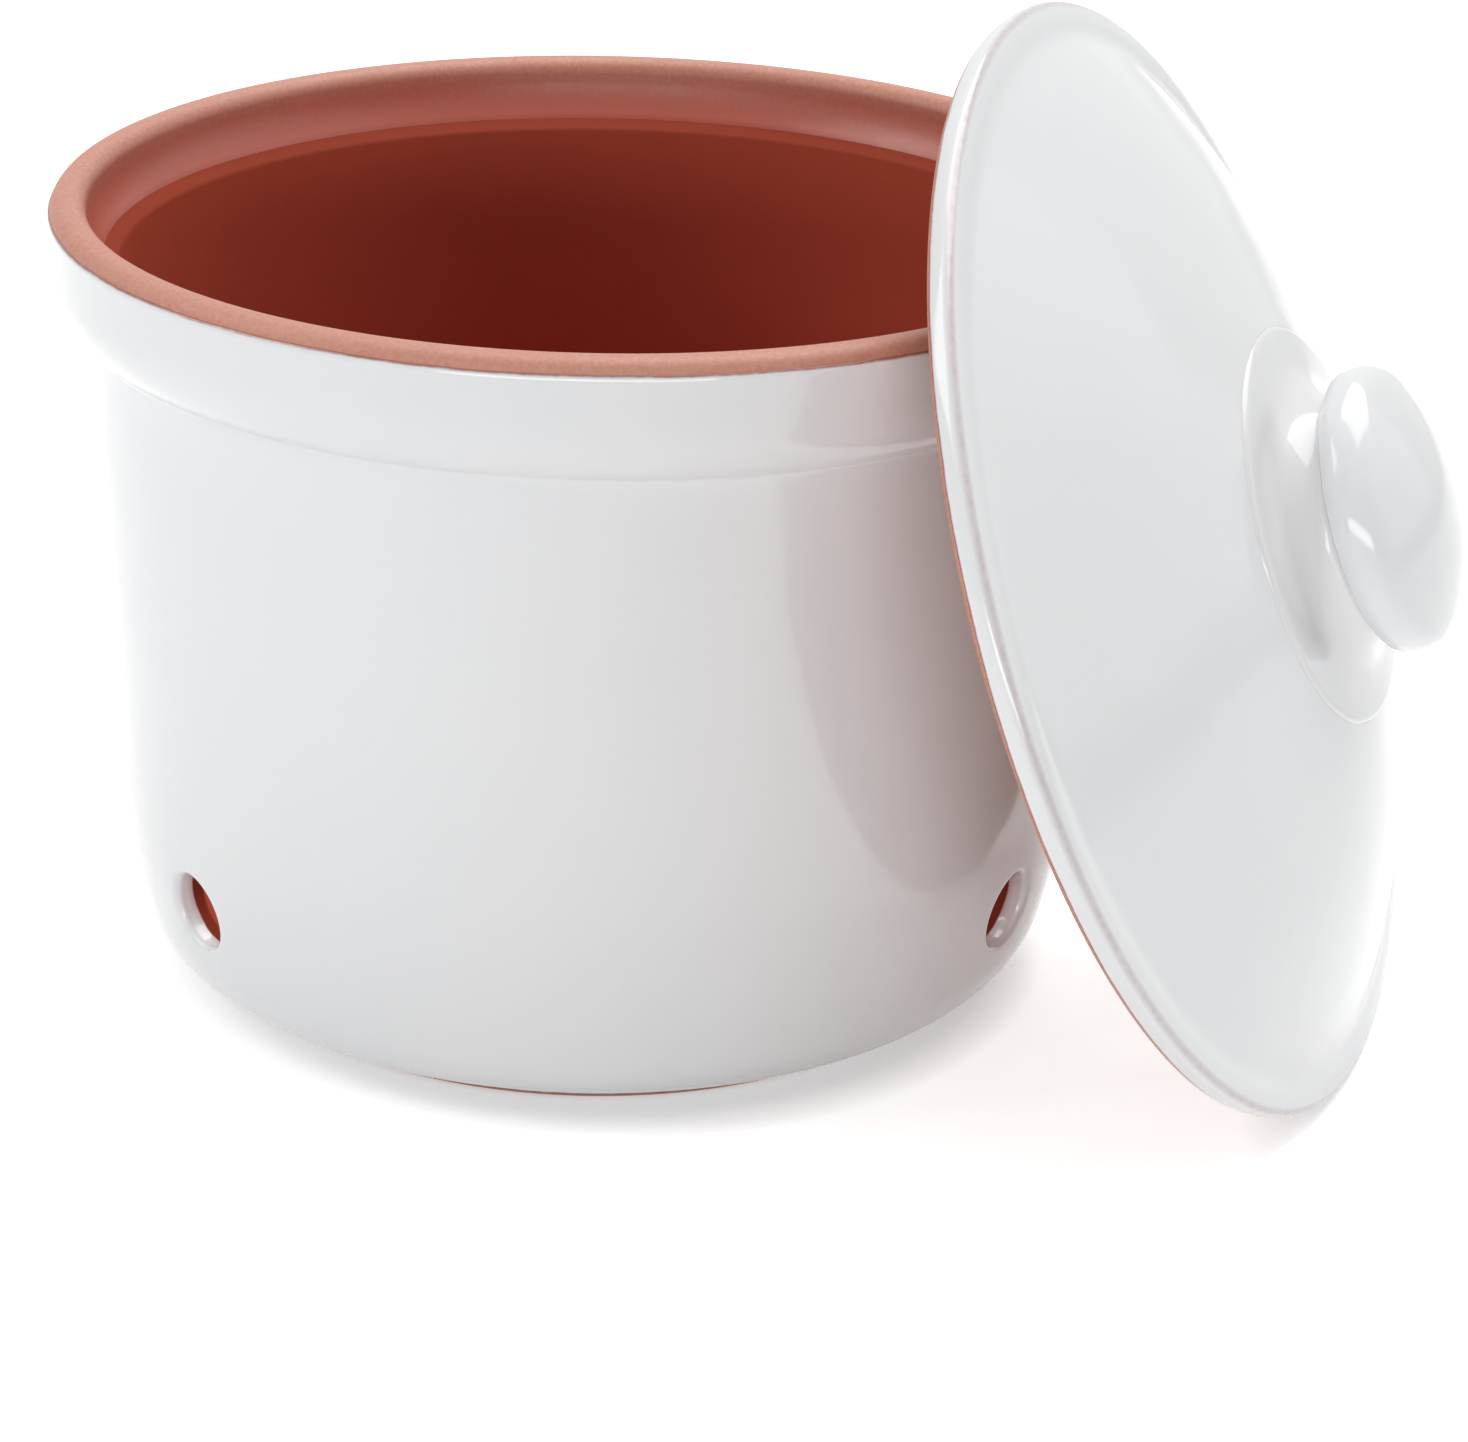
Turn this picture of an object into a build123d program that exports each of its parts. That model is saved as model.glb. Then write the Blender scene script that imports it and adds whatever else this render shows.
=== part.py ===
from build123d import *
import math
import os

# A round clay pot with a loose domed lid. The pot stands on the XY plane with its axis on Z.
# The lid has been taken off: it stands on its edge at the +X side and leans on the pot's lip.
# Sizes are in millimetres and are those of the fired clay; the glaze lies on top of it.

# Coat of glaze
glaze = 0.5

# Pot, outside
pot_height = 190.0
collar_radius = 127.5
collar_drop = 15.0
lip_round = 4.5
collar_overhang = 7.6
shoulder_drop = 28.5
shoulder_fillet = 3.0
wall_taper = 5.5
heel_height = 55.5
heel_mid_inset = 5.6
heel_mid_height = 20.0
foot_radius = 87.4
foot_height = 5.0
foot_width = 9.0
foot_recess = 2.5
foot_edge = 1.0

shoulder_radius = collar_radius - collar_overhang
heel_radius = shoulder_radius - wall_taper

# Pot, inside
lip_width = 8.5
lip_inner_round = 3.5
wall = 8.0
ledge_drop = 14.2
ledge_rise = 1.8
ledge_width = 3.4
ledge_edge = 1.2
floor_top = 12.0
inner_heel_round = 26.0

# Vent holes, at their finished width inside the glaze
vent_radius = 9.0
vent_height = 35.0
vent_edge = 1.5
vent_glaze_depth = 5.0
vent_angles = (-10.0, -124.0, 113.0)

# Glaze line on the pot: bare clay above it on the lip, and inside it on the foot
lip_bare = 2.8
foot_bare = 1.5

# Lid, outside. Heights are over the plane of its rim, and its rim covers the pot's collar.
rim_overhang = 1.5
rim_flare = 1.0
rim_height = 5.5
rim_edge = 1.0
rim_round = 1.8
rim_bare = 1.5
bead_width = 7.7
bead_rise = 1.2
bead_crown = 0.35
valley_width = 3.5
valley_rise = 8.2
shallow_reach = 20.3
shallow_rise = 30.45
shallow_bulge = 1.7
seat_radius = 45.7
seat_rise = 35.5
rim_radius = collar_radius + rim_overhang

# Lid, underside
dish_radius = 400.0
dish_depth = 20.4
flange_clearance = 2.5
flange_width = 7.0
flange_depth = 5.0
flange_edge = 1.6

# Knob
knob_foot_gap = 0.5
knob_foot_height = 1.9
knob_foot_round = 1.2
neck_start_radius = 36.5
neck_start_rise = 3.3
neck_radius = 26.8
neck_rise = 10.3
head_underside_radius = 28.2
head_underside_rise = 12.8
head_arris_radius = 29.6
head_arris_rise = 13.2
head_radius = 32.2
head_widest_rise = 17.2
head_crown = 14.7
head_crown_radius = 56.0
head_crown_flat = 1.0
head_edge_round = 8.0

# How the lid leans: its tilt from upright, and the gap left where it meets the lip
lean_angle = 21.35
lean_clearance = 0.3

# Steps along each edge of a section in the search for the point that touches the floor
contact_steps = 12


def outline_face(*edges):
    """One flat face from edges drawn as (radius, height)."""
    return make_face(Wire(list(edges)))


def turned(face):
    """The solid of revolution of a flat face about the Z axis."""
    return revolve(Plane.XZ * face, Axis.Z)


def round_corner(face, point, radius):
    """Round the corner of a flat face that lies nearest to a point."""
    corner = min(face.vertices(), key=lambda v: (Vector(v.X, v.Y) - Vector(*point)).length)
    return fillet(corner, radius)


def region(low_radius, low_height, high_radius, high_height):
    """A rectangle of the section plane, used to keep or remove part of a section."""
    size = (high_radius - low_radius, high_height - low_height)
    return Pos(low_radius, low_height) * Rectangle(*size, align=(Align.MIN, Align.MIN))


def redrawn(face):
    """The outline of a section drawn afresh, so that every edge is a plain line or a plain arc."""
    edges = []
    for edge in face.edges():
        start, middle, end = (
            Vector(round(point.X, 6), round(point.Y, 6)) for point in (edge @ 0, edge @ 0.5, edge @ 1)
        )
        if edge.geom_type == GeomType.LINE:
            edges.append(Line(start, end))
        else:
            edges.append(ThreePointArc(start, middle, end))
    return outline_face(*edges)


def grown(face, amount):
    """A section moved outwards by an amount, or inwards by a negative one, and kept off the axis."""
    half = region(0, -pot_height, 2 * collar_radius, 2 * pot_height)
    return redrawn(offset(face, amount) & half)


def pot_section():
    """The pot's outer form, filled in to the axis and flat underneath."""
    collar_top = pot_height - lip_round
    collar_low = pot_height - collar_drop
    shoulder = (shoulder_radius, pot_height - shoulder_drop)
    heel_top = (heel_radius, heel_height)
    body = Line(shoulder, heel_top)
    heel_mid = (heel_radius - heel_mid_inset, heel_mid_height)
    heel_end = (foot_radius, foot_height)
    heel_side = TangentArc(heel_top, heel_mid, tangent=body % 1)
    heel_under = TangentArc(heel_mid, heel_end, tangent=heel_side % 1)
    face = outline_face(
        Line((0, 0), (0, pot_height)),
        Line((0, pot_height), (collar_radius, pot_height)),
        Line((collar_radius, pot_height), (collar_radius, collar_low)),
        TangentArc((collar_radius, collar_low), shoulder, tangent=(0, -1)),
        body,
        heel_side,
        heel_under,
        Line(heel_end, (foot_radius, 0)),
        Line((foot_radius, 0), (0, 0)),
    )
    face = round_corner(face, (collar_radius, pot_height), lip_round)
    face = round_corner(face, shoulder, shoulder_fillet)
    return round_corner(face, (foot_radius, 0), foot_edge)


def cavity_section():
    """The space inside the pot, open at the top: cove, ledge, wall, rounded heel and floor."""
    lip_inner = collar_radius - lip_width
    lip_low = pot_height - lip_inner_round
    crest = lip_inner + lip_inner_round
    ledge_top = pot_height - ledge_drop
    wall_top = (shoulder_radius - wall, ledge_top - ledge_rise)
    ledge_out = (wall_top[0] + ledge_width, ledge_top)
    slope = (shoulder_radius - heel_radius) / (pot_height - shoulder_drop - heel_height)
    floor_radius = wall_top[0] - slope * (wall_top[1] - floor_top)
    face = outline_face(
        Line((0, floor_top), (floor_radius, floor_top)),
        Line((floor_radius, floor_top), wall_top),
        Line(wall_top, ledge_out),
        TangentArc((lip_inner, lip_low), ledge_out, tangent=(0, -1)),
        TangentArc((lip_inner, lip_low), (crest, pot_height), tangent=(0, 1)),
        Line((crest, pot_height), (crest, pot_height + wall)),
        Line((crest, pot_height + wall), (0, pot_height + wall)),
        Line((0, pot_height + wall), (0, floor_top)),
    )
    face = round_corner(face, (floor_radius, floor_top), inner_heel_round)
    return round_corner(face, wall_top, ledge_edge)


def recess_section():
    """The shallow hollow inside the foot ring."""
    inner = foot_radius - foot_width
    face = region(0, 0, inner, foot_recess)
    return round_corner(face, (inner, foot_recess), foot_edge)


def vent_cutters(radius):
    """Round cutters for the vent holes, pointing outwards from inside the wall."""
    reach = collar_radius
    start = heel_radius - 3 * wall
    cutters = []
    for angle in vent_angles:
        across = Plane(origin=(0, 0, vent_height), z_dir=Vector(1, 0, 0).rotate(Axis.Z, angle))
        cutters.append(across.offset(start) * Cylinder(
            radius, reach - start, align=(Align.CENTER, Align.CENTER, Align.MIN)))
    return cutters


def drilled(solid, radius, edge_round):
    """The filled form with its vent holes, their outer edges rounded over."""
    for cutter in vent_cutters(radius):
        solid = solid - cutter
    mouths = [
        edge
        for edge in solid.edges()
        if abs(edge.center().Z - vent_height) < radius
        and Vector(edge.center().X, edge.center().Y).length > heel_radius - wall
        and edge.is_closed
    ]
    return fillet(mouths, edge_round)


def build_pot():
    """The clay vessel and its coat of glaze."""
    form = pot_section()
    clay_form = drilled(turned(form), vent_radius + glaze, vent_edge)
    clay = clay_form - turned(cavity_section()) - turned(recess_section())

    coated = drilled(turned(grown(form, glaze)), vent_radius, vent_edge + glaze)
    glazed_zone = turned(region(
        foot_radius + foot_bare, 0, 2 * collar_radius, pot_height - lip_bare))
    deep = turned(grown(form, -vent_glaze_depth))
    coat = (coated & glazed_zone) - clay_form - deep
    return clay, coat


def lid_section():
    """The lid's upper form, filled in down to the plane of its rim."""
    foot = (rim_radius - rim_flare, 0)
    arris = (rim_radius, rim_height)
    bead_in = (rim_radius - bead_width, rim_height + bead_rise)
    bead_mid = (
        rim_radius - bead_width / 2 + bead_crown * bead_rise / bead_width,
        rim_height + bead_rise / 2 + bead_crown,
    )
    valley = (bead_in[0] - valley_width, valley_rise)
    shallow_in = (seat_radius + shallow_reach, shallow_rise)
    slope = SagittaArc(valley, shallow_in, -shallow_bulge)
    inward = slope % 1
    dome_top = (seat_radius, shallow_rise - shallow_reach * inward.Y / inward.X)
    face = outline_face(
        Line((0, 0), foot),
        Line(foot, arris),
        ThreePointArc(arris, bead_mid, bead_in),
        TangentArc(valley, bead_in, tangent=-(slope % 0)),
        slope,
        Line(shallow_in, dome_top),
        Line(dome_top, (seat_radius, seat_rise)),
        Line((seat_radius, seat_rise), (0, seat_rise)),
        Line((0, seat_rise), (0, 0)),
    )
    face = round_corner(face, foot, rim_edge)
    return round_corner(face, arris, rim_round)


def flange_section():
    """The ring under the lid that drops inside the pot's lip."""
    outer = collar_radius - lip_width - flange_clearance
    face = region(outer - flange_width, -flange_depth, outer, rim_edge)
    face = round_corner(face, (outer, -flange_depth), flange_edge)
    return round_corner(face, (outer - flange_width, -flange_depth), flange_edge)


def dish():
    """The ball whose top hollows out the lid's underside."""
    inner = collar_radius - lip_width - flange_clearance - flange_width
    ball = Pos(0, 0, dish_depth - dish_radius) * Sphere(dish_radius)
    return ball & Pos(0, 0, -flange_depth) * Cylinder(
        inner, 2 * dish_depth, align=(Align.CENTER, Align.CENTER, Align.MIN))


def knob_section():
    """The knob: a flat foot with a rounded edge, a hollow neck and an oval head."""
    foot = seat_radius - knob_foot_gap
    base = seat_rise
    neck_start = (neck_start_radius, base + neck_start_rise)
    neck_in = (neck_radius, base + neck_rise)
    underside = (head_underside_radius, base + head_underside_rise)
    arris = (head_arris_radius, base + head_arris_rise)
    widest = (head_radius, base + head_widest_rise)
    top = (head_crown_flat, widest[1] + head_crown)
    crown_reach = head_radius - head_crown_flat
    crown_drop = head_crown_radius - math.sqrt(head_crown_radius**2 - crown_reach**2)
    shoulder = (head_radius, top[1] - crown_drop)
    foot_top = Line((foot, base + knob_foot_height), neck_start)
    flare = TangentArc(neck_start, neck_in, tangent=foot_top % 1)
    face = outline_face(
        Line((0, base), (foot, base)),
        Line((foot, base), (foot, base + knob_foot_height)),
        foot_top,
        flare,
        TangentArc(neck_in, underside, tangent=flare % 1),
        Line(underside, arris),
        TangentArc(widest, arris, tangent=(0, -1)),
        Line(widest, shoulder),
        TangentArc(top, shoulder, tangent=(1, 0)),
        Line(top, (0, top[1])),
        Line((0, top[1]), (0, base)),
    )
    face = round_corner(face, shoulder, head_edge_round)
    return round_corner(face, (foot, base + knob_foot_height), knob_foot_round)


def lid_coat_section():
    """One coat of glaze over the lid and its knob, down to the bare edge of the rim."""
    both = lid_section() + knob_section()
    glazed_zone = region(0, rim_bare, 2 * rim_radius, 2 * rim_radius)
    return redrawn((grown(both, glaze) & glazed_zone) - both)


def build_lid():
    """The lid's clay, its knob and their coat of glaze, with the rim's plane on Z = 0."""
    clay = turned(lid_section()) - dish() + turned(flange_section())
    return clay, turned(knob_section()), turned(lid_coat_section())


def standing_height(tilt, *sections):
    """How high the middle of the rim's plane lies when the tilted lid stands on the floor."""
    edges = [edge for section in sections for edge in section.edges()]
    points = [edge @ (step / contact_steps) for edge in edges for step in range(contact_steps + 1)]
    return max(point.X * math.cos(tilt) - point.Y * math.sin(tilt) for point in points)


def leaning():
    """Where the lid stands: its rim on the floor and its dish against the pot's lip."""
    tilt = math.radians(lean_angle)
    outward = Vector(math.cos(tilt), 0, math.sin(tilt))
    height = standing_height(tilt, lid_section(), lid_coat_section())
    lip_x = collar_radius - lip_round
    lip_z = pot_height - lip_round
    ball_below = dish_radius - dish_depth
    reach = dish_radius - lip_round - glaze - lean_clearance
    ball_z = height - ball_below * outward.Z
    ball_x = lip_x - math.sqrt(reach**2 - (lip_z - ball_z) ** 2)
    distance = ball_x + ball_below * outward.X
    return Plane(origin=(distance, 0, height), x_dir=(0, 1, 0), z_dir=outward).location


def main():
    pot_clay, pot_coat = build_pot()
    place = leaning()
    lid_clay, knob, lid_coat = (place * piece for piece in build_lid())
    nodes = {
        "pot_body": pot_clay,
        "pot_glaze": pot_coat,
        "lid_body": lid_clay,
        "lid_knob": knob,
        "lid_glaze": lid_coat,
    }
    os.makedirs("parts", exist_ok=True)
    for name, piece in nodes.items():
        export_step(piece, f"parts/{name}.step")
    print("lid centre", place.position.X, place.position.Z)


main()
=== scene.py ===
import math

import bmesh
import bpy
import numpy as np
from mathutils import Matrix, Vector, noise


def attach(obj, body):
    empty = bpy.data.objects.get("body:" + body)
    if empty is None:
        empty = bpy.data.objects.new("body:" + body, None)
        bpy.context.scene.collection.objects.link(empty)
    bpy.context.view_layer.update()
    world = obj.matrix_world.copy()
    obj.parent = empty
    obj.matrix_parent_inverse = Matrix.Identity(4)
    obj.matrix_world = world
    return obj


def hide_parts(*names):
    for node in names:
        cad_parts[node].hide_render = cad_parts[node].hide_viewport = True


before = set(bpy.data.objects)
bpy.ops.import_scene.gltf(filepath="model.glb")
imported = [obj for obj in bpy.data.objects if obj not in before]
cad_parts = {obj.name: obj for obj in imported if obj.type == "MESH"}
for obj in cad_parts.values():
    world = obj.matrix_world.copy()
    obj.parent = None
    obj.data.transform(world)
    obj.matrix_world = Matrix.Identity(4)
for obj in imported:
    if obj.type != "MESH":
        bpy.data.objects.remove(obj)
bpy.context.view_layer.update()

# The looks of a clay pot with a white glaze outside, bare clay inside, and a domed lid that leans on it.
# Sections are drawn in millimetres as (radius, height) and turned about the axis; meshes are in metres.
MM = 0.001
COLUMNS = 360
STEP = 2.0
TURN_STEP = math.radians(9)
GLAZE = 0.5

# Pot, outside
POT_HEIGHT = 190.0
COLLAR_RADIUS = 127.5
COLLAR_LOW = 175.0
LIP_ROUND = 4.5
SHOULDER = (119.9, 161.5)
SHOULDER_ROUND = 3.0
HEEL_TOP = (114.4, 55.5)
HEEL_MID = (108.8, 20.0)
FOOT_TOP = (87.4, 5.0)
FOOT_WIDTH = 9.0
FOOT_RECESS = 2.5
FOOT_EDGE_ROUND = 1.0
FOOT_CREASE_ROUND = 1.2

# Pot, inside
LIP_INNER = 119.0
LIP_INNER_ROUND = 3.5
LIP_CREST = (COLLAR_RADIUS + LIP_INNER) / 2 - 0.4
LEDGE_OUT = (115.3, 175.8)
LEDGE_OUT_ROUND = 0.7
LEDGE_IN = (111.9, 174.0)
LEDGE_IN_ROUND = 1.2
FLOOR_TOP = 12.0
FLOOR_RADIUS = 103.5
INNER_HEEL_ROUND = 26.0

# Vent holes: their place, the rounds of their edges, and the painted shade on their clay past the glaze,
# given as bareness below 0
VENT_RADIUS = 9.0
VENT_HEIGHT = 35.0
VENT_ANGLES = (-10, -124, 113)
VENT_EDGE = 2.0
VENT_INNER_EDGE = 0.8
VENT_BORE_SHADE = -0.7
VENT_INNER_EDGE_SHADE = -0.4

# The glaze in a vent hole: how deep it goes, how well it covers by the share of that depth, how
# well at its end, how far it flares there, and how much it thins on the hole's outer edge
VENT_GLAZE_DEPTH = 5.0
VENT_COVER = {0.6: 0.92, 0.9: 0.75}
VENT_END_COVER = 0.3
VENT_END_FLARE = 0.15
VENT_EDGE_THINNING = 0.12

# The square windows in the wall's mesh that the vent holes are set in
WINDOW_HALF = 14.0
WINDOW_STEPS = 14

# Glaze line: bare clay above it on the lip, and below it on the foot and the lid's rim
LIP_BARE = 2.8
FOOT_BARE = 0.7
RIM_BARE = 1.0
LINE_WANDER = 0.16
WANDER_REACH = 4.0
WAVE_SCALE = 9.0
RIPPLE_SCALE = 4 * WAVE_SCALE
FOOT_SEED = 3.1
LIP_SEED = 7.7
RIM_SEED = 1.7

# The glaze near its line: the rows of its mesh, the share of its thickness that it starts with, and
# how far in it covers the clay fully; then how much thinner it is where it breaks over an edge
EDGE_ROWS = (0, 0.2, 0.45, 0.8, 1.3)
EDGE_SHARE = 0.12
COVER_REACH = 0.8
BREAK_THINNING = 0.3

# How bare the clay is, by height inside: 1 on the lip, 0 where it is sealed, and below 0 on the ledge,
# where a painted shade darkens the sealed red
INNER_BARENESS_AND_SHADE = {
    LEDGE_IN[1] - 0.8: 0,
    LEDGE_IN[1]: -0.4,
    LEDGE_OUT[1]: -0.4,
    LEDGE_OUT[1] + 1.0: 0.1,
    POT_HEIGHT - 6.0: 0.3,
    POT_HEIGHT - 0.5: 1,
}

# Lid, over the plane of its rim
RIM_FOOT = 128.0
RIM_RADIUS = 129.0
RIM_HEIGHT = 5.5
RIM_EDGE = 1.0
RIM_ROUND = 1.8
BEAD_IN = (121.3, 6.7)
BEAD_CROWN = 0.35
VALLEY = (117.8, 8.2)
SHALLOW_IN = (66.0, 30.45)
SHALLOW_BULGE = 1.7
SEAT_RADIUS = 45.7
DOME_TOP = 36.4
SEAT_HEIGHT = 35.5
DISH_RADIUS = 400.0
DISH_DEPTH = 20.4
FLANGE_OUT = 116.5
FLANGE_IN = 109.5
FLANGE_DEPTH = 5.0
FLANGE_ROUND = 1.6
FLANGE_ROOT_ROUND = 0.8
SEAT_EDGE_ROUND = 0.3

# Knob
KNOB_FOOT = (45.2, 37.4)
KNOB_FOOT_ROUND = 1.2
KNOB_JOINT_ROUND = 0.2
NECK_START = (36.5, 38.8)
NECK = (26.8, 45.8)
HEAD_UNDERSIDE = (28.2, 48.3)
HEAD_ARRIS = (29.6, 48.7)
HEAD_WIDEST = (32.2, 52.7)
HEAD_SHOULDER = (32.2, 57.8)
HEAD_EDGE_ROUND = 8.0
HEAD_TOP = 67.4

# Where the lid stands: the middle of its rim's plane, out and up from the pot's foot, and its lean
LID_CENTRE = (138.838, 119.397)
LEAN = math.radians(21.35)


class Outline:
    """A line in the section plane, drawn stretch by stretch."""

    def __init__(self, r, z):
        self.points = [Vector((r, z))]
        self.heading = Vector((1, 0))
        self.corners = []

    def line(self, r, z):
        """Straight on to a point, in short steps."""
        start = self.points[-1]
        end = Vector((r, z))
        steps = max(1, round((end - start).length / STEP))
        self.points += [start.lerp(end, i / steps) for i in range(1, steps + 1)]
        self.heading = (end - start).normalized()
        return self

    def arc(self, r, z, heading=None):
        """A round stretch that leaves along the line's heading and ends at a point."""
        if heading:
            self.heading = Vector(heading).normalized()
        start = self.points[-1]
        chord = Vector((r, z)) - start
        side = Vector((-self.heading.y, self.heading.x))
        turn = 2 * math.atan2(chord.dot(side), chord.dot(self.heading))
        radius = chord.length / (2 * math.sin(turn / 2))
        centre = start + side * radius
        steps = max(2, math.ceil(abs(turn) / TURN_STEP), math.ceil(abs(turn * radius) / STEP))
        for i in range(1, steps + 1):
            self.points.append(centre + Matrix.Rotation(turn * i / steps, 2) @ (start - centre))
        self.heading = Matrix.Rotation(turn, 2) @ self.heading
        return self

    def bow(self, r, z, bulge):
        """A round stretch to a point, bowed out on the right by a bulge."""
        chord = Vector((r, z)) - self.points[-1]
        return self.arc(r, z, Matrix.Rotation(-2 * math.atan(2 * bulge / chord.length), 2) @ chord)

    def corner(self, radius):
        """The point reached last is a corner that gets rounded."""
        self.corners.append((len(self.points) - 1, radius))
        return self

    def finished(self):
        """The points as an array, with every corner rounded."""
        points = list(self.points)
        for index, radius in reversed(self.corners):
            before = (points[index] - points[index - 1]).normalized()
            after = (points[index + 1] - points[index]).normalized()
            turn = before.angle(after)
            reach = radius * math.tan(turn / 2)
            low, start = walk(points, index, -1, reach)
            high, end = walk(points, index, 1, reach)
            steps = max(3, math.ceil(turn / TURN_STEP))
            middle = points[index]
            curve = [
                start.lerp(middle, t).lerp(middle.lerp(end, t), t)
                for t in (i / steps for i in range(steps + 1))
            ]
            points[low + 1 : high] = curve
        return np.array([tuple(p) for p in points])


def walk(points, index, way, reach):
    """The point at a distance along a line of points, and the index of the next one beyond it."""
    left = reach
    while True:
        here, there = points[index], points[index + way]
        length = (there - here).length
        if length > left:
            return index + way, here.lerp(there, left / length)
        left -= length
        index += way


def pot_outer():
    """The pot's clay from the foot's outer edge up to the lip's crest."""
    line = Outline(FOOT_TOP[0] - FOOT_WIDTH / 2, 0).line(FOOT_TOP[0], 0).corner(FOOT_EDGE_ROUND)
    line.line(*FOOT_TOP).corner(FOOT_CREASE_ROUND)
    heel = Outline(*HEEL_TOP)
    heel.heading = (Vector(HEEL_TOP) - Vector(SHOULDER)).normalized()
    heel.arc(*HEEL_MID).arc(*FOOT_TOP)
    line.points += list(reversed(heel.points[:-1]))
    line.line(*SHOULDER).corner(SHOULDER_ROUND)
    shoulder = Outline(COLLAR_RADIUS, COLLAR_LOW).arc(*SHOULDER, heading=(0, -1))
    line.points += list(reversed(shoulder.points[:-1]))
    line.line(COLLAR_RADIUS, POT_HEIGHT).corner(LIP_ROUND)
    line.line(LIP_CREST, POT_HEIGHT)
    return with_window(line.finished())


def pot_inner():
    """The pot's clay from the lip's crest down the inside to the middle of the floor."""
    line = Outline(LIP_INNER + LIP_INNER_ROUND, POT_HEIGHT)
    line.arc(LIP_INNER, POT_HEIGHT - LIP_INNER_ROUND, heading=(-1, 0)).arc(*LEDGE_OUT)
    line.corner(LEDGE_OUT_ROUND).line(*LEDGE_IN).corner(LEDGE_IN_ROUND)
    line.line(FLOOR_RADIUS, FLOOR_TOP).corner(INNER_HEEL_ROUND)
    line.line(0, FLOOR_TOP)
    return with_window(line.finished())


def pot_under():
    """The foot's underside from the middle out to the ring."""
    inner = FOOT_TOP[0] - FOOT_WIDTH
    line = Outline(0, FOOT_RECESS).line(inner, FOOT_RECESS).corner(FOOT_EDGE_ROUND)
    line.line(inner, 0).corner(FOOT_EDGE_ROUND).line(FOOT_TOP[0] - FOOT_WIDTH / 2, 0)
    return line.finished()


def with_window(points):
    """The points with even heights across the band of the vent holes."""
    low, high = VENT_HEIGHT - WINDOW_HALF, VENT_HEIGHT + WINDOW_HALF
    inside = [i for i, p in enumerate(points) if low < p[1] < high and p[0] > FLOOR_RADIUS / 2]
    first, last = inside[0], inside[-1]
    stretch = points[first - 1 : last + 2]
    rising = stretch[-1][1] > stretch[0][1]
    ordered = stretch if rising else stretch[::-1]
    heights = np.linspace(low, high, WINDOW_STEPS + 1)
    band = np.column_stack([np.interp(heights, ordered[:, 1], ordered[:, 0]), heights])
    band = band if rising else band[::-1]
    return np.vstack([points[:first], band, points[last + 1 :]])


def lid_top():
    """The lid's and knob's clay under the glaze, from the rim's lower edge to the crown."""
    line = Outline(RIM_FOOT - 2 * RIM_EDGE, 0).line(RIM_FOOT, 0).corner(RIM_EDGE)
    line.line(RIM_RADIUS, RIM_HEIGHT).corner(RIM_ROUND).bow(*BEAD_IN, BEAD_CROWN)
    dome = Outline(*SHALLOW_IN).bow(*VALLEY, -SHALLOW_BULGE).arc(*BEAD_IN)
    line.points += list(reversed(dome.points[:-1]))
    line.line(SEAT_RADIUS, DOME_TOP).corner(SEAT_EDGE_ROUND)
    line.line(KNOB_FOOT[0], SEAT_HEIGHT + KNOB_JOINT_ROUND).corner(KNOB_JOINT_ROUND)
    line.line(*KNOB_FOOT).corner(KNOB_FOOT_ROUND)
    line.line(*NECK_START).arc(*NECK).arc(*HEAD_UNDERSIDE).line(*HEAD_ARRIS)
    head = Outline(*HEAD_WIDEST).arc(*HEAD_ARRIS, heading=(0, -1))
    line.points += list(reversed(head.points[:-1]))
    line.line(*HEAD_SHOULDER).corner(HEAD_EDGE_ROUND)
    crown = Outline(0, HEAD_TOP).arc(*HEAD_SHOULDER, heading=(1, 0))
    line.points += list(reversed(crown.points[:-1]))
    return line.finished()


def lid_under():
    """The lid's underside from the middle of the dish out to the rim's lower edge."""
    drop = DISH_RADIUS - math.sqrt(DISH_RADIUS**2 - FLANGE_IN**2)
    line = Outline(0, DISH_DEPTH).arc(FLANGE_IN, DISH_DEPTH - drop, heading=(1, 0))
    line.line(FLANGE_IN, -FLANGE_DEPTH).corner(FLANGE_ROUND)
    line.line(FLANGE_OUT, -FLANGE_DEPTH).corner(FLANGE_ROUND)
    line.line(FLANGE_OUT, 0).corner(FLANGE_ROOT_ROUND).line(RIM_FOOT - 2 * RIM_EDGE, 0)
    return line.finished()


def normals_of(points):
    """Unit normals of a line of points, to the right of its direction."""
    along = np.gradient(points, axis=0)
    along /= np.linalg.norm(along, axis=1)[:, None]
    return np.column_stack([along[:, 1], -along[:, 0]])


def lengths_of(points):
    """The distance along a line of points, from its start to each of them."""
    return np.concatenate([[0], np.cumsum(np.linalg.norm(np.diff(points, axis=0), axis=1))])


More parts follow.
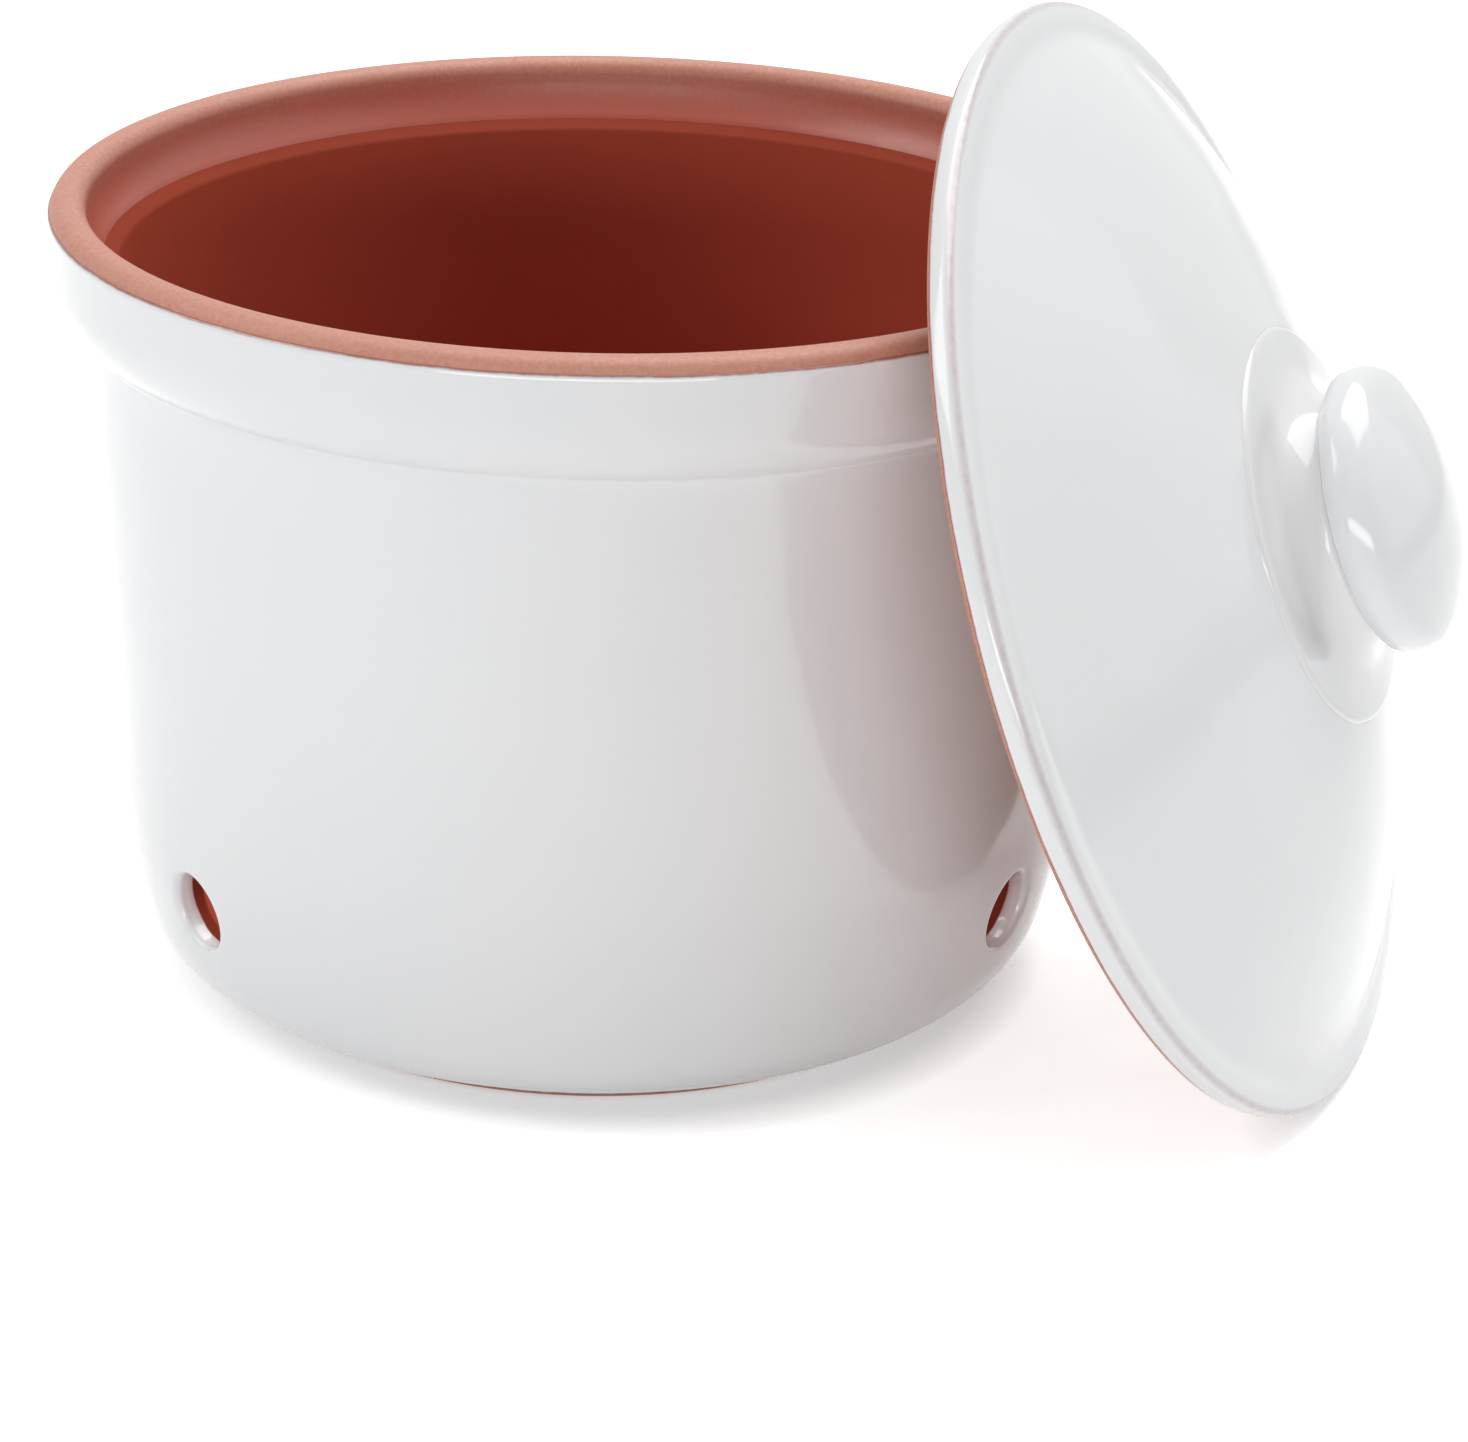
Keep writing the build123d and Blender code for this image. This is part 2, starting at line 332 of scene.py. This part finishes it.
class Skin:
    """A mesh in the making: vertices in millimetres, faces, and how fully the glaze covers each vertex."""

    def __init__(self):
        self.vertices = []
        self.cover = []
        self.faces = []

    def add(self, point, cover=1.0):
        self.vertices.append(tuple(point))
        self.cover.append(cover)
        return len(self.vertices) - 1

    def ring(self, radii, heights, cover):
        """One turn of vertices, or a single one on the axis."""
        if np.max(radii) < 1e-6:
            return [self.add((0, 0, float(np.mean(heights))), cover)]
        angles = np.arange(COLUMNS) * math.tau / COLUMNS
        return [
            self.add((r * math.cos(a), r * math.sin(a), z), cover)
            for a, r, z in zip(angles, np.broadcast_to(radii, COLUMNS), np.broadcast_to(heights, COLUMNS))
        ]

    def bridge(self, lower, upper, gaps=()):
        """Faces between two rings, with the columns of the gaps left open."""
        for c in range(COLUMNS):
            n = (c + 1) % COLUMNS
            if any((c - start) % COLUMNS < 2 * WINDOW_COLUMNS for start in gaps):
                continue
            if len(lower) == 1:
                self.faces.append((lower[0], upper[n], upper[c]))
            elif len(upper) == 1:
                self.faces.append((lower[c], lower[n], upper[0]))
            else:
                self.faces.append((lower[c], lower[n], upper[n], upper[c]))

    def strip(self, loop, following):
        """Faces between two closed loops of as many vertices."""
        count = len(loop)
        for i in range(count):
            n = (i + 1) % count
            self.faces.append((loop[i], loop[n], following[n], following[i]))

    def made(self, name, materials, transform=Matrix.Identity(4)):
        """The finished object, smooth, with outward faces and its cover as an attribute.

        Faces with no cover at all take the last of the materials.
        """
        mesh = bpy.data.meshes.new(name)
        mesh.from_pydata([Vector(v) * MM for v in self.vertices], [], self.faces)
        last = len(materials) - 1
        mesh.polygons.foreach_set(
            "material_index", [last if max(self.cover[i] for i in face) <= 0 else 0 for face in self.faces])
        mesh.attributes.new("cover", "FLOAT", "POINT").data.foreach_set("value", self.cover)
        work = bmesh.new()
        work.from_mesh(mesh)
        bmesh.ops.delete(work, geom=[v for v in work.verts if not v.link_faces], context="VERTS")
        bmesh.ops.recalc_face_normals(work, faces=work.faces)
        work.to_mesh(mesh)
        work.free()
        mesh.transform(transform)
        mesh.shade_smooth()
        for material in materials:
            mesh.materials.append(material)
        piece = bpy.data.objects.new(name, mesh)
        bpy.context.collection.objects.link(piece)
        return piece


WINDOW_COLUMNS = round(WINDOW_HALF / (HEEL_MID[0] * math.tau / COLUMNS))


def window_start(angle):
    """The first column of the window round the vent hole at an angle."""
    return round(angle * COLUMNS / 360) - WINDOW_COLUMNS


class Sheet:
    """One side of a wall: a line of points turned about the axis, with windows for the vent holes."""

    def __init__(self, skin, points, cover=None, windows=False, shifts=None):
        self.points = points
        cover = np.ones(len(points)) if cover is None else cover
        self.rings = []
        for i, (r, z) in enumerate(points):
            radii, heights = (r, z) if shifts is None else shifts(i)
            self.rings.append(skin.ring(radii, heights, float(cover[i])))
        heights = points[:, 1]
        low = VENT_HEIGHT - WINDOW_HALF
        self.first = None
        if windows:
            wall = [i for i in range(len(points)) if points[i][0] > FLOOR_RADIUS / 2]
            ends = sorted(
                min(wall, key=lambda i: abs(heights[i] - h)) for h in (low, low + 2 * WINDOW_HALF))
            self.first, self.last = ends
        starts = [window_start(angle) for angle in VENT_ANGLES]
        for i in range(len(points) - 1):
            open_row = windows and self.first <= i < self.last
            skin.bridge(self.rings[i], self.rings[i + 1], starts if open_row else ())

    def window(self, angle):
        """The vertices round a window, anticlockwise seen from outside, from its lower left corner."""
        columns = [(window_start(angle) + k) % COLUMNS for k in range(2 * WINDOW_COLUMNS + 1)]
        rows = list(range(self.first, self.last + 1))
        if self.points[rows[0]][1] > self.points[rows[-1]][1]:
            rows.reverse()
        low = [self.rings[rows[0]][c] for c in columns]
        high = [self.rings[rows[-1]][c] for c in columns]
        right = [self.rings[r][columns[-1]] for r in rows]
        left = [self.rings[r][columns[0]] for r in rows]
        return low[:-1] + right[:-1] + high[::-1][:-1] + left[::-1][:-1]

    def depth_at(self, across, height):
        """How far out the sheet lies along a hole's axis, at a place across it and a height."""
        band = self.points[self.first - 3 : self.last + 4]
        band = band if band[0][1] < band[-1][1] else band[::-1]
        return math.sqrt(np.interp(height, band[:, 1], band[:, 0]) ** 2 - across**2)


def bore(skin, angle, stations, loop):
    """A hole's skin: loops of vertices from one window's edge, through the stations, to the next.

    A station holds its share of the way from the window's edge to the circle, whose window that is,
    the sheet it is measured from, the circle's radius, its depth under the sheet, and its cover.
    """
    axis = Vector((math.cos(math.radians(angle)), math.sin(math.radians(angle)), 0))
    side = Vector((-axis.y, axis.x, 0))
    start = [Vector(skin.vertices[i]) for i in loop[0]]
    turns = [math.atan2(p.z - VENT_HEIGHT, p.dot(side)) for p in start]
    rims = {}
    for sheet, edge in zip(("near", "far"), loop):
        rims[sheet] = [Vector(skin.vertices[i]) for i in edge]
    previous = loop[0]
    for share, sheet, surface, radius, depth, cover in stations:
        ring = []
        for turn, rim in zip(turns, rims[sheet]):
            on_circle = Vector((radius * math.cos(turn), radius * math.sin(turn) + VENT_HEIGHT))
            place = Vector((rim.dot(side), rim.z)).lerp(on_circle, share)
            out = surface.depth_at(*place) - depth
            ring.append(skin.add(axis * out + side * place.x + Vector((0, 0, place.y)), cover))
        skin.strip(previous, ring)
        previous = ring
    skin.strip(previous, loop[1])


def flat_stations(sheet, surface, radius, shares, cover=1.0):
    """Stations that lie on a wall's surface between its window and a hole."""
    return [(share, sheet, surface, radius, 0.0, cover) for share in shares]


def round_stations(sheet, surface, centre, edge, lift, cover, inwards=True):
    """Stations round the edge of a hole, from the wall's surface into the hole or back out of it."""
    steps = [math.radians(a) for a in range(15, 91, 15)]
    made = [
        (1.0, sheet, surface, centre - edge * math.sin(a), lift + edge * (1 - math.cos(a)), cover(a))
        for a in steps
    ]
    return made if inwards else made[::-1]


def wander(seed):
    """How far a glaze line strays from its place, for each column: slow waves with smaller ones on them."""
    strays = []
    for angle in np.arange(COLUMNS) * math.tau / COLUMNS:
        waves, ripples = (
            noise.noise(Vector((math.cos(angle) * scale, math.sin(angle) * scale, seed)))
            for scale in (WAVE_SCALE, RIPPLE_SCALE)
        )
        strays.append(LINE_WANDER * (waves + 0.5 * ripples))
    return np.array(strays)


class Coat:
    """The glaze over a line of clay: where it starts and ends, how thick it is and how well it covers.

    A break is where it draws thin over an edge: the place along the line, its width and its depth.
    """

    def __init__(self, clay, start, end, breaks, start_wander, end_wander=None):
        lengths = lengths_of(clay)
        normals = normals_of(clay)
        keep = (lengths > start + STEP / 3) & (lengths < end - STEP / 3)
        edges = [start + row for row in EDGE_ROWS]
        ends = [end - row for row in reversed(EDGE_ROWS)] if end_wander is not None else []
        middle = lengths[keep & (lengths > edges[-1]) & (lengths < (ends[0] if ends else end))]
        rows = np.concatenate([edges, middle, ends if ends else [end]])
        self.clay, self.lengths, self.normals, self.rows = clay, lengths, normals, rows
        from_edge = rows - start
        if end_wander is not None:
            from_edge = np.minimum(from_edge, end - rows)
        swell = np.sqrt(np.clip(from_edge / EDGE_ROWS[-1], 0, 1))
        self.thickness = GLAZE * (EDGE_SHARE + (1 - EDGE_SHARE) * swell)
        self.cover = np.clip(from_edge / COVER_REACH, 0, 1)
        for place, width, depth in breaks:
            dip = depth * np.exp(-(((rows - place) / width) ** 2))
            self.cover = np.minimum(self.cover, 1 - dip)
            self.thickness = np.minimum(self.thickness, GLAZE * (1 - BREAK_THINNING * dip))
        self.moves = np.outer(np.clip(1 - (rows - start) / WANDER_REACH, 0, 1), start_wander)
        if end_wander is not None:
            self.moves += np.outer(np.clip(1 - (end - rows) / WANDER_REACH, 0, 1), end_wander)

    def on_clay(self, i):
        """The ring of the coat's clay side at a row."""
        s = self.rows[i] + self.moves[i]
        return np.interp(s, self.lengths, self.clay[:, 0]), np.interp(s, self.lengths, self.clay[:, 1])

    def on_top(self, i):
        """The ring of the coat's outer side at a row."""
        s = self.rows[i] + self.moves[i]
        r, z = self.on_clay(i)
        out_r = np.interp(s, self.lengths, self.normals[:, 0])
        out_z = np.interp(s, self.lengths, self.normals[:, 1])
        return np.maximum(r + out_r * self.thickness[i], 0), z + out_z * self.thickness[i]

    def line(self, ring):
        """The points of the coat's section on one side, where nothing wanders."""
        return np.array([[float(np.mean(v)) for v in ring(i)] for i in range(len(self.rows))])


def length_at(points, place):
    """The distance along a line of points at the point nearest to a place."""
    nearest = np.argmin(np.linalg.norm(points - np.array(place), axis=1))
    return lengths_of(points)[nearest]


def make_pot(clay, sealed, glaze):
    """The pot's clay body and its coat of glaze."""
    outer, inner, under = pot_outer(), pot_inner(), pot_under()

    body = Skin()
    outside = Sheet(body, outer, windows=True)
    bareness = np.interp(inner[:, 1], list(INNER_BARENESS_AND_SHADE), list(INNER_BARENESS_AND_SHADE.values()))
    inside = Sheet(body, inner, bareness, windows=True)
    bottom = Sheet(body, under)
    body.bridge(outside.rings[-1], inside.rings[0])
    body.bridge(bottom.rings[-1], outside.rings[0])
    centre = VENT_RADIUS + VENT_EDGE
    for angle in VENT_ANGLES:
        stations = flat_stations("near", outside, centre, (0.5, 1.0))
        stations += round_stations("near", outside, centre, VENT_EDGE - GLAZE, 0, lambda a: 1.0)
        hole = VENT_RADIUS + GLAZE
        # Past the glaze the bore's clay gets a painted shade: bareness below 0 darkens it
        stations += [(1.0, "far", inside, hole, -depth, VENT_BORE_SHADE) for depth in (3.0, 1.0)]
        stations += [(1.0, "far", inside, hole + VENT_INNER_EDGE, 0.0, VENT_INNER_EDGE_SHADE)]
        stations += flat_stations("far", inside, hole + VENT_INNER_EDGE, (0.5,), 0.0)
        bore(body, angle, stations, (outside.window(angle), inside.window(angle)))
    pot_clay = body.made("pot_clay", (clay, sealed))

    start = length_at(outer, (FOOT_TOP[0], FOOT_BARE))
    end = length_at(outer, (COLLAR_RADIUS, POT_HEIGHT - LIP_BARE))
    breaks = [(length_at(outer, SHOULDER) + 1, 1.6, 0.06)]
    coat = Coat(outer, start, end, breaks, wander(FOOT_SEED), wander(LIP_SEED))
    skin = Skin()
    top = Sheet(skin, coat.line(coat.on_top), coat.cover, windows=True, shifts=coat.on_top)
    back = Sheet(skin, coat.line(coat.on_clay), coat.cover, windows=True, shifts=coat.on_clay)
    skin.bridge(top.rings[0], back.rings[0])
    skin.bridge(top.rings[-1], back.rings[-1])
    for angle in VENT_ANGLES:
        deep = VENT_GLAZE_DEPTH
        stations = flat_stations("near", top, centre, (0.5, 1.0))
        stations += round_stations(
            "near", top, centre, VENT_EDGE, 0, lambda a: 1 - VENT_EDGE_THINNING * math.sin(a) ** 8)
        for share, cover in VENT_COVER.items():
            stations.append((1.0, "near", top, VENT_RADIUS, share * deep, cover))
        stations += [
            (1.0, "near", top, VENT_RADIUS + VENT_END_FLARE, deep, VENT_END_COVER),
            (1.0, "far", back, VENT_RADIUS + GLAZE, deep - GLAZE, VENT_END_COVER),
        ]
        stations += round_stations(
            "far", back, centre, VENT_EDGE - GLAZE, 0, lambda a: 1.0, inwards=False)
        stations += flat_stations("far", back, centre, (1.0, 0.5))
        bore(skin, angle, stations, (top.window(angle), back.window(angle)))
    pot_coat = skin.made("pot_glaze_coat", (glaze,))

    for piece, node, slot in ((pot_clay, "pot_body", "clay"), (pot_coat, "pot_glaze", "glaze")):
        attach(piece, "pot")
        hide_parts(node)


def lean_matrix():
    """Where the lid stands: its rim on the floor and its dish against the pot's lip."""
    outward = Vector((math.cos(LEAN), 0, math.sin(LEAN)))
    across = Vector((0, 1, 0))
    turned = Matrix((across, outward.cross(across), outward)).transposed().to_4x4()
    return Matrix.Translation(Vector((LID_CENTRE[0], 0, LID_CENTRE[1])) * MM) @ turned


def make_lid(clay, glaze):
    """The lid's clay and the one coat of glaze over the lid and its knob."""
    top_line, under = lid_top(), lid_under()
    place = lean_matrix()

    seat = int(np.argmin(np.linalg.norm(top_line - np.array((SEAT_RADIUS, DOME_TOP)), axis=1)))
    body = Skin()
    cover_line = np.vstack([top_line[: seat + 1], [[SEAT_RADIUS, SEAT_HEIGHT], [0, SEAT_HEIGHT]]])
    bottom = Sheet(body, under)
    dome = Sheet(body, cover_line)
    body.bridge(bottom.rings[-1], dome.rings[0])
    lid_clay = body.made("lid_clay", (clay,), place)

    start = length_at(top_line, (RIM_FOOT, RIM_BARE))
    breaks = [
        (length_at(top_line, (RIM_RADIUS - RIM_ROUND / 2, RIM_HEIGHT)), 0.9, 0.28),
        (length_at(top_line, HEAD_ARRIS), 0.6, 0.8),
        (length_at(top_line, KNOB_FOOT), 0.8, 0.1),
    ]
    coat = Coat(top_line, start, lengths_of(top_line)[-1], breaks, wander(RIM_SEED))
    skin = Skin()
    top = Sheet(skin, coat.line(coat.on_top), coat.cover, shifts=coat.on_top)
    back = Sheet(skin, coat.line(coat.on_clay), coat.cover, shifts=coat.on_clay)
    skin.bridge(top.rings[0], back.rings[0])
    lid_coat = skin.made("lid_glaze_coat", (glaze,), place)

    for piece, node, slot in ((lid_clay, "lid_body", "clay"), (lid_coat, "lid_glaze", "glaze")):
        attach(piece, "lid")
        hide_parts(node)
    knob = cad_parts["lid_knob"]
    knob.data.materials.clear()
    knob.data.materials.append(clay)


# A mix node has sockets of the same name for each kind of value; these are the ones for colours
MIX_FIRST_COLOUR = 6
MIX_SECOND_COLOUR = 7
MIX_RESULT_COLOUR = 2


def seen_rays(tree):
    """A socket that is 1 where a ray shows the surface to the eye, and 0 where it only lights others."""
    path = tree.nodes.new("ShaderNodeLightPath").outputs
    seen = path["Is Camera Ray"]
    for kind in ("Is Glossy Ray", "Is Transmission Ray"):
        either = tree.nodes.new("ShaderNodeMath")
        either.operation = "MAXIMUM"
        tree.links.new(seen, either.inputs[0])
        tree.links.new(path[kind], either.inputs[1])
        seen = either.outputs[0]
    return seen


class Nodes:
    """Short calls to build a material's nodes."""

    def __init__(self, name):
        self.material = bpy.data.materials.new(name)
        self.material.use_nodes = True
        self.tree = self.material.node_tree
        self.shader = self.tree.nodes["Principled BSDF"]
        self.place = self.node("ShaderNodeTexCoord").outputs["Object"]

    def node(self, kind, inputs=(), **settings):
        made = self.tree.nodes.new(kind)
        for key, value in settings.items():
            setattr(made, key, value)
        for key, value in dict(inputs).items():
            self.feed(made.inputs[key], value)
        return made

    def feed(self, socket, value):
        if isinstance(value, bpy.types.NodeSocket):
            self.tree.links.new(value, socket)
        else:
            socket.default_value = value

    def noise(self, scale, detail, roughness=0.5):
        inputs = {"Vector": self.place, "Scale": scale, "Detail": detail, "Roughness": roughness}
        return self.node("ShaderNodeTexNoise", inputs).outputs["Fac"]

    def math(self, operation, a, b, clamp=False):
        made = self.node("ShaderNodeMath", operation=operation, use_clamp=clamp)
        self.feed(made.inputs[0], a)
        self.feed(made.inputs[1], b)
        return made.outputs[0]

    def ranged(self, value, low, high, to_low, to_high):
        inputs = {"Value": value, "From Min": low, "From Max": high, "To Min": to_low, "To Max": to_high}
        return self.node("ShaderNodeMapRange", inputs).outputs["Result"]

    def mix(self, factor, a, b):
        made = self.node("ShaderNodeMix", data_type="RGBA")
        self.feed(made.inputs["Factor"], factor)
        self.feed(made.inputs[MIX_FIRST_COLOUR], a)
        self.feed(made.inputs[MIX_SECOND_COLOUR], b)
        return made.outputs[MIX_RESULT_COLOUR]

    def bump(self, height, distance, normal=None):
        made = self.node("ShaderNodeBump", {"Height": height, "Distance": distance, "Strength": 1.0})
        if normal:
            self.feed(made.inputs["Normal"], normal)
        return made.outputs["Normal"]

    def cover(self):
        return self.node("ShaderNodeAttribute", attribute_name="cover").outputs["Fac"]

    def set(self, **values):
        for key, value in values.items():
            self.feed(self.shader.inputs[key.replace("_", " ")], value)


# Colours; where there are two, soft clouds mix them
GLAZE_WHITE = ((0.79, 0.80, 0.81, 1), (0.83, 0.835, 0.84, 1))
GLAZE_LINE = (0.36, 0.13, 0.09, 1)
GLAZE_THIN = (0.50, 0.39, 0.41, 1)
CLAY_DULL = ((0.46, 0.185, 0.13, 1), (0.53, 0.23, 0.165, 1))
CLAY_GRAIN = (0.57, 0.27, 0.19, 1)
CLAY_SEALED = ((0.44, 0.086, 0.050, 1), (0.51, 0.104, 0.060, 1))
# Painted shade for the ledge and the vent holes, mixed in where the bareness is below 0
CLAY_PAINTED_SHADE = (0.13, 0.017, 0.010, 1)
FLOOR_WHITE = (0.86, 0.86, 0.865, 1)


def glaze_material():
    """A white glossy glaze that thins to a red-brown line where the clay has a sharp edge."""
    n = Nodes("white_glaze")
    cloud = n.noise(14.0, 3.0)
    white = n.mix(cloud, *GLAZE_WHITE)
    ragged = n.ranged(n.noise(420.0, 3.0), 0.3, 0.7, -0.12, 0.12)
    thin = n.ranged(n.cover(), 0.6, 0.85, 1.0, 0.0)
    cover = n.math("ADD", n.cover(), n.math("MULTIPLY", ragged, thin), clamp=True)
    pink = n.mix(n.ranged(cover, 0.25, 0.7, 0, 1), GLAZE_LINE, GLAZE_THIN)
    colour = n.mix(n.ranged(cover, 0.5, 0.95, 0, 1), pink, white)
    waves = n.bump(n.noise(38.0, 1.0), 0.00045)
    peel = n.bump(n.noise(520.0, 2.0), 0.00001, normal=waves)
    n.set(Base_Color=colour, Roughness=n.ranged(n.noise(60.0, 4.0), 0.3, 0.7, 0.07, 0.13), Normal=peel)
    n.set(IOR=1.52, Coat_Weight=0.0)
    return n.material


def clay_material(name, gloss):
    """Fired clay: salmon, grained and dull where it is bare, deep red and satin where it is sealed, and
    darker where a shade is painted as bareness below 0.
    """
    n = Nodes(name)
    bare = n.cover()
    cloud = n.noise(22.0, 4.0, 0.6)
    grain = n.noise(900.0, 3.0, 0.7)
    dull = n.mix(n.ranged(grain, 0.35, 0.65, 0, 1), n.mix(cloud, *CLAY_DULL), CLAY_GRAIN)
    # Bareness below 0 darkens the sealed red towards the painted shade colour
    deep = n.mix(n.ranged(bare, -1, 0, 0, 1), CLAY_PAINTED_SHADE, n.mix(cloud, *CLAY_SEALED))
    height = n.math("MULTIPLY", n.math("MULTIPLY", grain, n.noise(2600.0, 2.0)), bare, clamp=True)
    speckle = n.noise(150.0, 3.0)
    satin = n.ranged(speckle, 0.3, 0.7, 0.28, 0.36)
    rough = n.math("ADD", satin, n.math("MULTIPLY", bare, 0.2, clamp=True))
    n.set(Base_Color=n.mix(bare, deep, dull), Roughness=rough, Normal=n.bump(height, 0.00008))
    n.set(IOR=1.45, Specular_IOR_Level=gloss)
    return n.material


# The floor: its half width in metres, its glow to the eye in the open and in the creases under the
# object, and how far that shade reaches
FLOOR_HALF = 12.0
FLOOR_GLOW = 0.7
FLOOR_GLOW_SHADED = 0.38
FLOOR_SHADE_REACH = 0.012


def stage_material():
    """A white floor that keeps the object's soft shadow."""
    n = Nodes("studio_floor")
    n.set(Base_Color=FLOOR_WHITE, Roughness=0.9, Specular_IOR_Level=0.0)
    open_sky = n.node("ShaderNodeAmbientOcclusion", {"Distance": FLOOR_SHADE_REACH}).outputs["AO"]
    glow = n.ranged(open_sky, 0.3, 1.0, FLOOR_GLOW_SHADED, FLOOR_GLOW)
    n.set(Emission_Color=(1, 1, 1, 1), Emission_Strength=n.math("MULTIPLY", seen_rays(n.tree), glow))
    return n.material


# The camera, measured from the pot's foot: where it stands, and how it is turned
CAMERA_PLACE = Vector((388.0, -1023.1, 504.1)) * MM
CAMERA_TURN = math.radians(20.77)
CAMERA_YAW = 0.0303
CAMERA_PITCH = 0.3869
CAMERA_ROLL = -0.0261
LENS = 120.0
SENSOR = 36.0

# The lamps: azimuth from the camera's side towards the picture's right, elevation, distance, size, power
LAMPS = {
    "key": (-84, 36, 2.4, (1.4, 1.2), 19),
    "top": (140, 68, 2.4, (2.4, 2.0), 54),
    "fill": (-5, 6, 2.6, (2.6, 0.5), 25),
    "side": (90, 25, 2.4, (2.4, 1.8), 6),
}
LAMP_AIM = Vector((0, 0, 0.1))

# The world's strength: as light on the object, and as the white background that is seen
WORLD_LIGHT = 0.15
WORLD_SEEN = 1.0


def make_camera():
    """A long lens that looks down on the pot, at the photograph's angle."""
    yaw = CAMERA_YAW - CAMERA_TURN
    forward = Vector((
        math.sin(yaw) * math.cos(CAMERA_PITCH),
        math.cos(yaw) * math.cos(CAMERA_PITCH),
        -math.sin(CAMERA_PITCH),
    ))
    right = Vector((math.cos(yaw), -math.sin(yaw), 0))
    down = forward.cross(right)
    cos_roll, sin_roll = math.cos(CAMERA_ROLL), math.sin(CAMERA_ROLL)
    x_axis = right * cos_roll + down * sin_roll
    y_axis = right * sin_roll - down * cos_roll
    turned = Matrix((x_axis, y_axis, -forward)).transposed().to_4x4()
    data = bpy.data.cameras.new("camera")
    data.lens = LENS
    data.sensor_width = SENSOR
    data.sensor_fit = "HORIZONTAL"
    camera = bpy.data.objects.new("camera", data)
    camera.matrix_world = Matrix.Translation(CAMERA_PLACE) @ turned
    bpy.context.collection.objects.link(camera)
    bpy.context.scene.camera = camera


def make_lamp(name, azimuth, elevation, distance, size, power):
    """A soft oblong lamp that looks at the object."""
    angle = CAMERA_TURN - math.pi / 2 + math.radians(azimuth)
    level = math.cos(math.radians(elevation))
    place = LAMP_AIM + distance * Vector((
        level * math.cos(angle), level * math.sin(angle), math.sin(math.radians(elevation))))
    data = bpy.data.lights.new(name, "AREA")
    data.shape = "RECTANGLE"
    data.size, data.size_y = size
    data.energy = power
    made = bpy.data.objects.new(name, data)
    made.location = place
    made.rotation_euler = (LAMP_AIM - place).to_track_quat("-Z", "Y").to_euler()
    bpy.context.collection.objects.link(made)


def make_studio():
    """Floor, lamps and world."""
    mesh = bpy.data.meshes.new("floor")
    half = FLOOR_HALF
    mesh.from_pydata(
        [(-half, -half, 0), (half, -half, 0), (half, half, 0), (-half, half, 0)], [], [(0, 1, 2, 3)])
    mesh.materials.append(stage_material())
    floor = bpy.data.objects.new("floor", mesh)
    bpy.context.collection.objects.link(floor)

    for name, setting in LAMPS.items():
        make_lamp(name, *setting)

    world = bpy.data.worlds.new("studio")
    world.use_nodes = True
    bpy.context.scene.world = world
    tree = world.node_tree
    background = tree.nodes["Background"]
    strength = tree.nodes.new("ShaderNodeMapRange")
    strength.inputs["To Min"].default_value = WORLD_LIGHT
    strength.inputs["To Max"].default_value = WORLD_SEEN
    tree.links.new(seen_rays(tree), strength.inputs["Value"])
    tree.links.new(strength.outputs["Result"], background.inputs["Strength"])
    background.inputs["Color"].default_value = (1, 1, 1, 1)
    bpy.context.scene.view_settings.view_transform = "Standard"


bare_clay = clay_material("bare_clay", 0.6)
sealed_clay = clay_material("sealed_clay", 0.0)
white_glaze = glaze_material()
make_pot(bare_clay, sealed_clay, white_glaze)
make_lid(bare_clay, white_glaze)
make_studio()
make_camera()

bpy.context.view_layer.update()
